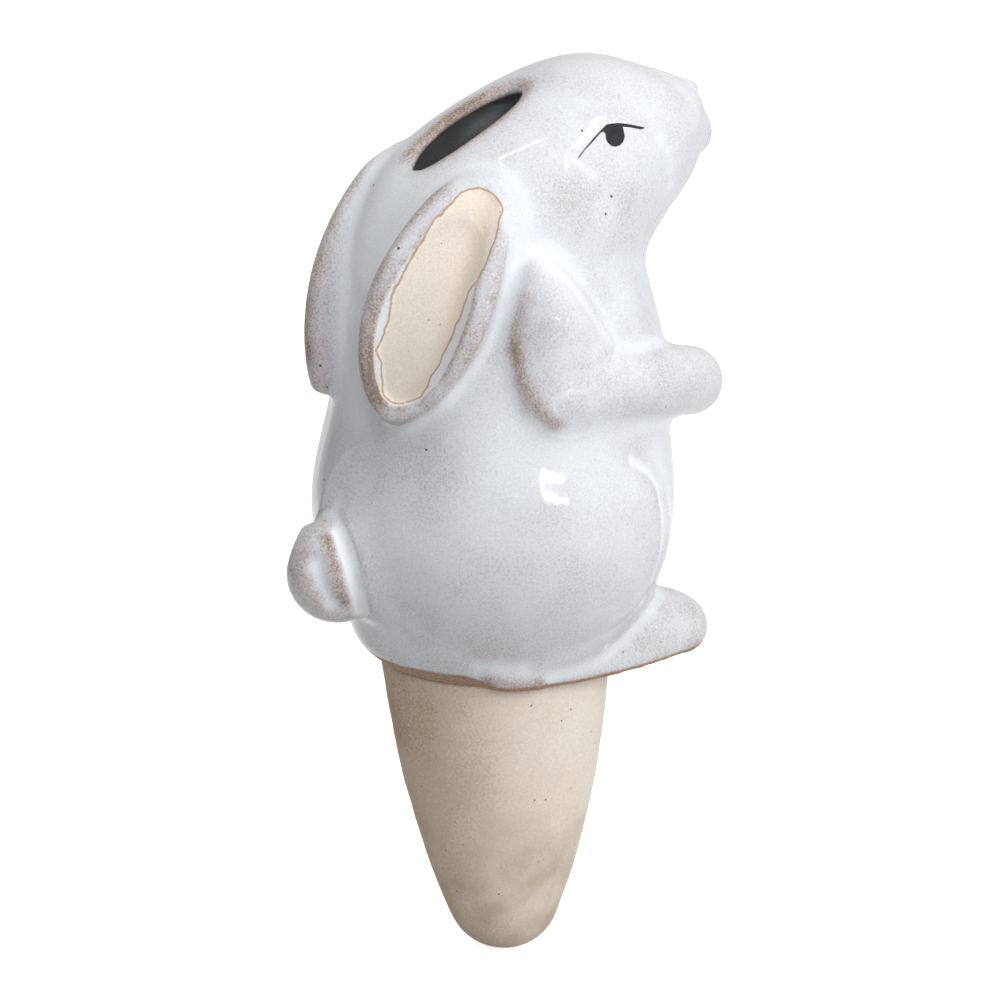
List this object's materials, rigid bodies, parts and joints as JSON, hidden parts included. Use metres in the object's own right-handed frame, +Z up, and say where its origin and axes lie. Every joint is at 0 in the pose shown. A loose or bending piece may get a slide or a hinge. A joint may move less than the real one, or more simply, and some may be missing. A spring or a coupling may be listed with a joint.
{
  "type": "self watering plant spike",
  "caption": "Hollow glazed stoneware rabbit with a filling slot in the back of its head, on a bare porous clay spike that goes into potting soil and waters the plant.",
  "frame": {"origin": "centre of the spike at the soil line, level with the soles of the hind feet", "axes": "+Z up along the spike, -Y the way the rabbit faces, +X to its left; X = 0 is the mirror plane"},
  "size_m": [0.0794, 0.0994, 0.1888],
  "materials": {
    "glaze": "glossy blue-white glaze that breaks speckled tan on the edges",
    "bare_clay": "matte unglazed beige stoneware with fine specks"
  },
  "bodies": {
    "root": {"left_body_half": "glaze", "right_body_half": "glaze", "left_ear": "glaze", "right_ear": "glaze", "left_foreleg": "glaze", "right_foreleg": "glaze", "left_hind_foot": "glaze", "right_hind_foot": "glaze", "tail": "glaze", "spike": "bare_clay"}
  },
  "joints": []
}
